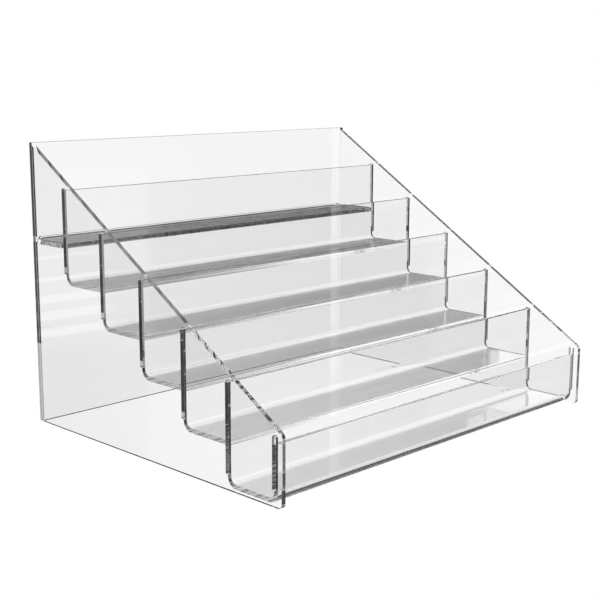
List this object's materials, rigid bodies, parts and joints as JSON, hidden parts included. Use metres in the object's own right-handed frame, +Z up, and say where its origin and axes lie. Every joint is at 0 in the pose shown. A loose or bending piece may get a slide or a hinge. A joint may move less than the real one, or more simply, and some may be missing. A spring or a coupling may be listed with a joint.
{
  "type": "stepped display stand",
  "caption": "Stepped clear stand: bent trays in rising tiers, held by tabs in slotted side panels with slanted tops, a flat top shelf and a tall back panel.",
  "frame": {"origin": "middle of the footprint, on the table the stand rests on", "axes": "+Z up; X along the trays; the front, with the low lip, faces -Y and the tall back panel is on +Y"},
  "size_m": [0.3, 0.238, 0.19],
  "materials": {
    "side_sheet": "clear polished",
    "back_sheet": "clear polished",
    "shelf_sheet": "clear polished",
    "bent_sheet": "clear polished"
  },
  "bodies": {
    "root": {"left_side_panel": "side_sheet", "right_side_panel": "side_sheet", "back_panel": "back_sheet", "top_shelf": "shelf_sheet", "step_tray_1": "bent_sheet", "step_tray_2": "bent_sheet", "step_tray_3": "bent_sheet", "step_tray_4": "bent_sheet", "front_tray": "bent_sheet"}
  },
  "joints": []
}
